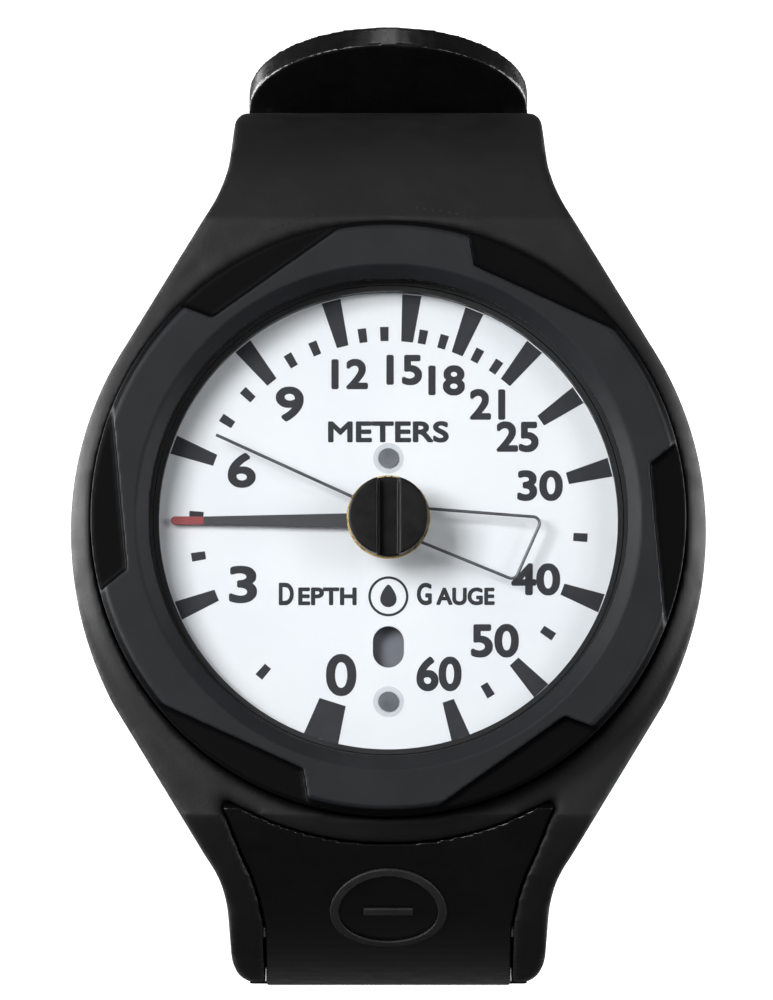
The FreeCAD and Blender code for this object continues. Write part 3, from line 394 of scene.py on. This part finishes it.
def build_boot_marks():
    """A row of small raised dashes on the top arm, along an arc about the dial."""
    arc_radius = 33.3 * MM
    pitch = 1.45
    long_dash = 0.42 * MM
    short_dash = 0.26 * MM
    stand_out = 0.10 * MM
    thick = 0.20 * MM

    def builder(work):
        for start, end in ((-24.0, -13.0), (4.5, 23.5)):
            count = int((end - start) / pitch)
            for index in range(count):
                degrees = start + (end - start) * (index + 0.5) / count
                x, z = clock(arc_radius, degrees)
                length = long_dash if index % 3 else short_dash
                turn = Matrix.Rotation(math.radians(degrees), 4, "Y")
                place = Matrix.Translation((x, boot_front_y(x, z), z))
                size = Matrix.Diagonal((length, stand_out, thick, 1.0))
                bmesh.ops.create_cube(work, size=1.0, matrix=place @ turn @ size)
    from_bmesh("boot_marks", builder, "housing", LOOKS["boot_rubber"])


# ---- dial ---------------------------------------------------------------------------------

# Clock angles of the printed depths in metres. The steps are wide at first and close up.
NUMBERED = {0: 197.5, 3: 247.9, 6: 290.7, 9: 321.0, 12: 345.7, 15: 365.8, 18: 381.8, 21: 399.2,
            25: 415.4, 30: 435.2, 40: 470.1, 50: 497.3, 60: 521.2}
UNNUMBERED = {1: 220.5, 4: 260.8, 5: 273.0, 7: 303.0, 8: 313.0, 10: 329.5, 11: 337.5, 13: 352.3,
              14: 358.8, 16: 370.3, 17: 376.5, 19: 387.5, 20: 394.0, 35: 453.5, 45: 484.0,
              55: 509.0}
DIAL_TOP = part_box("dial_plate")[0][1]
DIAL_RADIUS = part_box("dial_rim")[1][0] - 0.6 * MM
PRINT_CENTRE = (0.0, -0.45 * MM)
PRINT_BACK = DIAL_TOP - 0.005 * MM
PRINT_FRONT = DIAL_TOP - 0.03 * MM
MARK_INNER = 19.6 * MM
NUMERAL_RADIUS = 16.6 * MM
# Width and height of each numeral in millimetres.
NUMERAL_SIZES = {0: (3.25, 4.5), 3: (3.0, 4.0), 6: (3.0, 3.75), 9: (3.0, 3.75), 12: (3.9, 3.25),
                 15: (3.8, 3.25), 18: (3.9, 3.25), 21: (3.8, 3.3), 25: (4.5, 3.3),
                 30: (4.85, 3.3), 40: (5.2, 3.45), 50: (5.1, 3.6), 60: (4.8, 3.7)}
NUMERAL_BOLD = 0.17 * MM
# The line that carries the two words, and the depth between stacked copies of a letter.
PRINT_LINE = -7.95 * MM
COPY_STEP = 0.0008 * MM
LETTER_COPIES = 8
LETTER_SLAB = 0.01


def mark_outline(degrees, inner, outer, inner_width, outer_width):
    """A tapered bar that points at the print's centre."""
    points = []
    for radius, width, side in ((inner, inner_width, -1), (outer, outer_width, -1),
                                (outer, outer_width, 1), (inner, inner_width, 1)):
        x, z = clock(radius, degrees, PRINT_CENTRE)
        angle = math.radians(degrees)
        points.append((x + side * width / 2 * math.cos(angle),
                       z - side * width / 2 * math.sin(angle)))
    return points


def edge_radius(degrees):
    """How far the print reaches before it meets the black rim, from the print's centre."""
    lean = math.cos(math.radians(degrees)) * -PRINT_CENTRE[1]
    return DIAL_RADIUS - 0.05 * MM + lean


def build_marks():
    """Long bars at the numbered depths, a wider one at zero, and short ticks between."""
    zero_widths = (2.9 * MM, 3.8 * MM)
    bar_widths = (1.25 * MM, 2.05 * MM)
    tick_widths = (0.84 * MM, 0.92 * MM)
    tick_outer = MARK_INNER + 1.5 * MM

    def builder(work):
        for depth, degrees in NUMBERED.items():
            widths = zero_widths if depth == 0 else bar_widths
            outline = mark_outline(degrees, MARK_INNER, edge_radius(degrees), *widths)
            extrude_outline(work, outline, PRINT_FRONT, PRINT_BACK)
        for degrees in UNNUMBERED.values():
            outline = mark_outline(degrees, MARK_INNER, tick_outer, *tick_widths)
            extrude_outline(work, outline, PRINT_FRONT, PRINT_BACK)
    from_bmesh("dial_marks", builder, "housing", INK)


def letter_mesh(name, text):
    """The plain outline of some characters, as a thin slab in its own units."""
    curve = bpy.data.curves.new(name, "FONT")
    curve.body = text
    curve.extrude = LETTER_SLAB
    curve.resolution_u = 6
    holder = bpy.data.objects.new(name, curve)
    bpy.context.scene.collection.objects.link(holder)
    graph = bpy.context.evaluated_depsgraph_get()
    mesh = bpy.data.meshes.new_from_object(holder.evaluated_get(graph))
    bpy.data.objects.remove(holder)
    return mesh


def build_lettering(name, text, centre, width, height, bold):
    """Upright printed characters that fill a width and height about a spot.

    Each stroke is thickened by laying copies of the letters in a ring of radius `bold`.
    """
    source = letter_mesh(name, text)
    xs = [vertex.co.x for vertex in source.vertices]
    ys = [vertex.co.y for vertex in source.vertices]
    across = (width - 2 * bold) / (max(xs) - min(xs))
    up = (height - 2 * bold) / (max(ys) - min(ys))
    middle = ((max(xs) + min(xs)) / 2, (max(ys) + min(ys)) / 2)
    work = bmesh.new()
    for index in range(LETTER_COPIES):
        turn = 2 * math.pi * (index + 0.5) / LETTER_COPIES
        sink = index * COPY_STEP
        known = len(work.verts)
        work.from_mesh(source)
        work.verts.ensure_lookup_table()
        for vertex in work.verts[known:]:
            x, y, z = vertex.co
            vertex.co = ((x - middle[0]) * across + centre[0] + bold * math.cos(turn),
                         PRINT_FRONT + sink if z > 0 else PRINT_BACK,
                         (y - middle[1]) * up + centre[1] + bold * math.sin(turn))
    bmesh.ops.remove_doubles(work, verts=work.verts, dist=COPY_STEP / 4)
    mesh = bpy.data.meshes.new(name)
    bmesh.ops.recalc_face_normals(work, faces=work.faces)
    work.to_mesh(mesh)
    work.free()
    add_piece(name, mesh, "housing", INK)


def build_word(name, capital, rest, centre):
    """A word whose first letter stands taller than the others, on one base line."""
    bold = 0.10 * MM
    base = PRINT_LINE - 0.95 * MM
    capital_width = 1.6 * MM
    capital_height = 2.4 * MM
    rest_width = 6.2 * MM
    rest_height = 1.9 * MM
    capital_centre = (centre - 3.35 * MM, base + capital_height / 2)
    rest_centre = (centre + 1.0 * MM, base + rest_height / 2)
    build_lettering(f"word_{name}_capital", capital, capital_centre, capital_width,
                    capital_height, bold)
    build_lettering(f"word_{name}_rest", rest, rest_centre, rest_width, rest_height, bold)


def build_print():
    for depth, (width, height) in NUMERAL_SIZES.items():
        centre = clock(NUMERAL_RADIUS, NUMBERED[depth], PRINT_CENTRE)
        build_lettering(f"numeral_{depth}", str(depth), centre, width * MM, height * MM,
                        NUMERAL_BOLD)
    unit_centre = (0.0, 9.5 * MM)
    build_lettering("unit_word", "METERS", unit_centre, 12.8 * MM, 2.3 * MM, 0.12 * MM)
    build_word("left", "D", "EPTH", -7.45 * MM)
    build_word("right", "G", "AUGE", 7.15 * MM)
    build_drop()


def build_drop():
    """A plain water drop in a ring, between the two words."""
    half_width = 0.95 * MM
    half_height = 1.0 * MM
    point_reach = 0.7 * MM
    sink = 0.15 * MM
    ring_inner = 1.86 * MM
    ring_outer = 2.12 * MM
    steps = 28

    def builder(work):
        outline = []
        for index in range(steps):
            turn = 2 * math.pi * index / steps
            # the pull narrows the drop and draws it out to a point at its top
            pull = 0.125 * (1 + math.cos(turn)) ** 2.2
            x = half_width * math.sin(turn) * (1 - pull * 0.9)
            z = half_height * math.cos(turn) + point_reach * pull - sink + PRINT_LINE
            outline.append((x, z))
        extrude_outline(work, outline, PRINT_FRONT, PRINT_BACK)
        ring_mesh(work, (0.0, PRINT_LINE), ring_inner, ring_outer, PRINT_FRONT, PRINT_BACK)
    from_bmesh("drop_mark", builder, "housing", INK)


def ring_mesh(work, centre, inner, outer, y_front, y_back):
    """A flat ring facing the front."""
    steps = 72
    loops = []
    for radius, y in ((inner, y_back), (inner, y_front), (outer, y_front), (outer, y_back)):
        loop = []
        for index in range(steps):
            x, z = clock(radius, 360.0 * index / steps, centre)
            loop.append(work.verts.new((x, y, z)))
        loops.append(loop)
    for one, two in zip(loops, loops[1:] + loops[:1]):
        for index in range(steps):
            after = (index + 1) % steps
            work.faces.new((one[index], two[index], two[after], one[after]))


def build_dial_fittings():
    """Pale grey flat rings round the two dial screws, painted shade of their countersinks, and greys
    for the metal seen in the openings.
    """
    low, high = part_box("dial_screws")
    head_radius = 1.05 * MM
    countersink_shade_inner = 1.07 * MM
    countersink_shade_outer = 1.62 * MM
    spots = [(0.0, high[2] - head_radius), (0.0, low[2] + head_radius)]

    def rings(work):
        for spot in spots:
            # flat rings on the dial face, grey as painted shade of a countersink
            ring_mesh(work, spot, countersink_shade_inner, countersink_shade_outer, DIAL_TOP - 0.05 * MM,
                      DIAL_TOP - 0.004 * MM)
    from_bmesh("countersink_shade_rings", rings, "housing", COUNTERSINK_SHADE)
    for node, look in (("dial_screws", SCREW_GREY), ("plate_screws", SCREW_GREY),
                       ("upper_plate", WINDOW_GREY)):
        frame["nodes"][node].data.materials.clear()
        frame["nodes"][node].data.materials.append(look)


# ---- hands --------------------------------------------------------------------------------

def build_pointer():
    """The blade towards 9 o'clock, with a rounded red tip."""
    low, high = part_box("depth_pointer")
    y_front, y_back = low[1], high[1]
    tip = low[0]
    change = tip + 3.5 * MM
    tip_half = 0.44 * MM
    change_half = 0.43 * MM
    root_half = 0.80 * MM
    hub = 2.55 * MM
    tail = high[0]

    def rounded_end(work):
        arc = [(tip + tip_half - tip_half * math.cos(math.radians(a)),
                tip_half * math.sin(math.radians(a))) for a in range(-90, 91, 10)]
        extrude_outline(work, [(change, -change_half), *arc, (change, change_half)],
                        y_front, y_back)

    def blade(work):
        outline = [(change, -change_half), (change, change_half), (-hub, root_half)]
        outline += [clock(hub, a) for a in range(-70, 71, 10)]
        outline += [(tail, root_half), (tail, -root_half)]
        outline += [clock(hub, a) for a in range(110, 251, 10)]
        outline += [(-hub, -root_half)]
        extrude_outline(work, outline, y_front, y_back)

    blade_piece = from_bmesh("pointer_blade", blade, "pointer", LOOKS["pointer_paint"])
    tip_piece = from_bmesh("pointer_red_tip", rounded_end, "pointer", RED)
    for piece in (blade_piece, tip_piece):
        bevel = piece.modifiers.new("edge", "BEVEL")
        bevel.width = 0.05 * MM
        bevel.segments = 2
    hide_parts("depth_pointer")


# ---- everything else keeps its CAD form and gets its material ------------------------------

def dress_frame_nodes():
    for node, obj in frame["nodes"].items():
        if SLOT_OF[node] in LOOKS:
            obj.data.materials.clear()
            obj.data.materials.append(LOOKS[SLOT_OF[node]])


# ---- stage --------------------------------------------------------------------------------

def add_area_light(name, place, target, size, power):
    """A square soft light in metres and watts that faces the target."""
    data = bpy.data.lights.new(name, "AREA")
    data.energy = power
    data.size = size
    light = bpy.data.objects.new(name, data)
    light.location = place
    light.rotation_euler = (Vector(target) - Vector(place)).to_track_quat("-Z", "Y").to_euler()
    bpy.context.scene.collection.objects.link(light)


def build_stage():
    material = bpy.data.materials.new("stage_white")
    material.use_nodes = True
    surface = material.node_tree.nodes["Principled BSDF"]
    surface.inputs["Base Color"].default_value = (0.92, 0.92, 0.92, 1.0)
    surface.inputs["Roughness"].default_value = 0.9
    surface.inputs["Emission Color"].default_value = (1.0, 1.0, 1.0, 1.0)
    surface.inputs["Emission Strength"].default_value = 0.9

    def bowl(work):
        """A round floor that sweeps up into a wall, wide enough to hold the camera."""
        profile = [(1.30, -0.16), (1.48, -0.12), (1.58, 0.0), (1.60, 1.6)]
        steps = 64
        rings = []
        for radius, height in profile:
            ring = []
            for index in range(steps):
                angle = 2 * math.pi * index / steps
                spot = (radius * math.cos(angle), radius * math.sin(angle), height)
                ring.append(work.verts.new(spot))
            rings.append(ring)
        work.faces.new(rings[0])
        for lower, upper in zip(rings, rings[1:]):
            for index in range(steps):
                after = (index + 1) % steps
                work.faces.new((lower[index], lower[after], upper[after], upper[index]))
    mesh = bpy.data.meshes.new("stage_floor")
    work = bmesh.new()
    bowl(work)
    bmesh.ops.recalc_face_normals(work, faces=work.faces)
    work.to_mesh(mesh)
    work.free()
    mesh.materials.append(material)
    floor = bpy.data.objects.new("stage_floor", mesh)
    bpy.context.scene.collection.objects.link(floor)
    # only the camera sees the backdrop, so black rubber doesn't mirror it
    floor.visible_glossy = False
    floor.visible_diffuse = False
    target = (0.0, 0.0, 0.0)
    add_area_light("key", (-0.42, -0.90, 0.20), target, 0.35, 9.5)
    add_area_light("fill", (0.50, -0.85, 0.10), target, 0.30, 2.0)
    add_area_light("left_side", (-0.90, -0.12, 0.05), target, 0.50, 20.0)
    add_area_light("right_side", (0.90, -0.08, 0.0), target, 0.45, 11.0)
    add_area_light("left_rim", (-0.70, 0.42, 0.10), target, 0.45, 10.0)
    add_area_light("right_rim", (0.70, 0.42, 0.05), target, 0.45, 7.0)
    add_area_light("top", (-0.01, -0.26, 0.80), target, 0.12, 1.0)
    world = bpy.data.worlds.new("studio")
    bpy.context.scene.world = world
    world.use_nodes = True
    world.node_tree.nodes["Background"].inputs["Color"].default_value = (1, 1, 1, 1)
    world.node_tree.nodes["Background"].inputs["Strength"].default_value = 0.10


def build_camera():
    """Square on to the dial and a few degrees below it."""
    distance = 1.2
    elevation = math.radians(-4.0)
    visible_height = 105.5 * MM
    target = Vector((-0.2 * MM, -20.0 * MM, 2.0 * MM))
    camera_data = bpy.data.cameras.new("camera")
    camera_data.sensor_fit = "VERTICAL"
    camera_data.sensor_height = 24.0
    camera_data.lens = camera_data.sensor_height * distance / visible_height
    camera_data.clip_start = 0.01
    camera = bpy.data.objects.new("camera", camera_data)
    away = Vector((0.0, -math.cos(elevation), math.sin(elevation)))
    camera.location = target + away * distance
    camera.rotation_euler = (-away).to_track_quat("-Z", "Y").to_euler()
    bpy.context.scene.collection.objects.link(camera)
    bpy.context.scene.camera = camera
    bpy.context.scene.view_settings.view_transform = "Standard"


build_camera()
build_stage()
dress_frame_nodes()
build_moulded_parts()
build_boot_marks()
build_marks()
build_print()
build_dial_fittings()
build_pointer()
